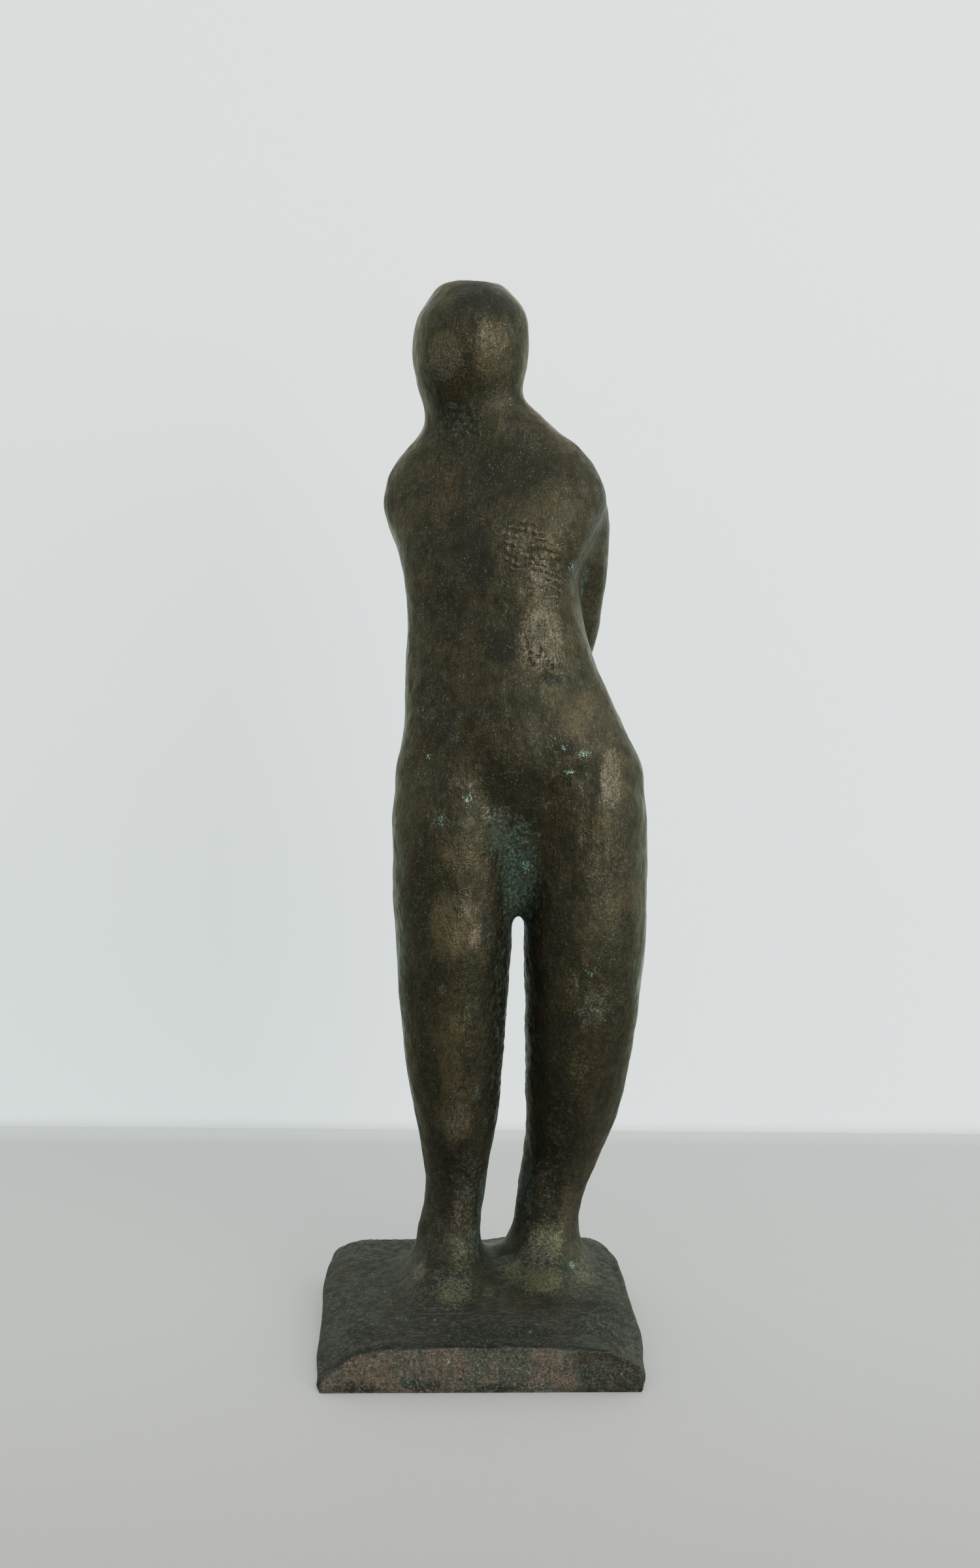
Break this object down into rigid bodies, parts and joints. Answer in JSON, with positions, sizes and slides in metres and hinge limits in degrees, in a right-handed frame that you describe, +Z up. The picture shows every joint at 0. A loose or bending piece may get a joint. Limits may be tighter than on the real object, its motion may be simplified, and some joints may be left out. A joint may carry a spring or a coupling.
{
  "type": "bronze statuette",
  "caption": "Standing faceless nude with folded arms behind the back, cast in dark bronze and bolted through the feet to a small rough slab base.",
  "frame": {"origin": "on the surface the statuette stands on, under the middle of the slab base", "axes": "+X towards the figure's own left, -Y out of its front, +Z up"},
  "size_m": [0.0808, 0.0738, 0.2616],
  "materials": {
    "figure_bronze": "satin olive-brown patina with warm rubbed patches and verdigris in the hollows",
    "base_bronze": "matt grey-green patina, rough and reddish on the sawn front",
    "chased_bronze": "chased flush and patinated like the skin around it",
    "plated_steel": "zinc-plated, dull"
  },
  "bodies": {
    "root": {"figure_casting": "figure_bronze", "base_casting": "base_bronze", "crown_plug": "chased_bronze", "core_pin_chest": "chased_bronze", "core_pin_belly": "chased_bronze", "core_pin_hip": "chased_bronze", "core_pin_upper_back": "chased_bronze", "core_pin_lower_back": "chased_bronze", "core_pin_loin": "chased_bronze", "left_foot_stud": "plated_steel", "left_foot_washer": "plated_steel", "left_foot_nut": "plated_steel", "right_foot_stud": "plated_steel", "right_foot_washer": "plated_steel", "right_foot_nut": "plated_steel"}
  },
  "joints": []
}
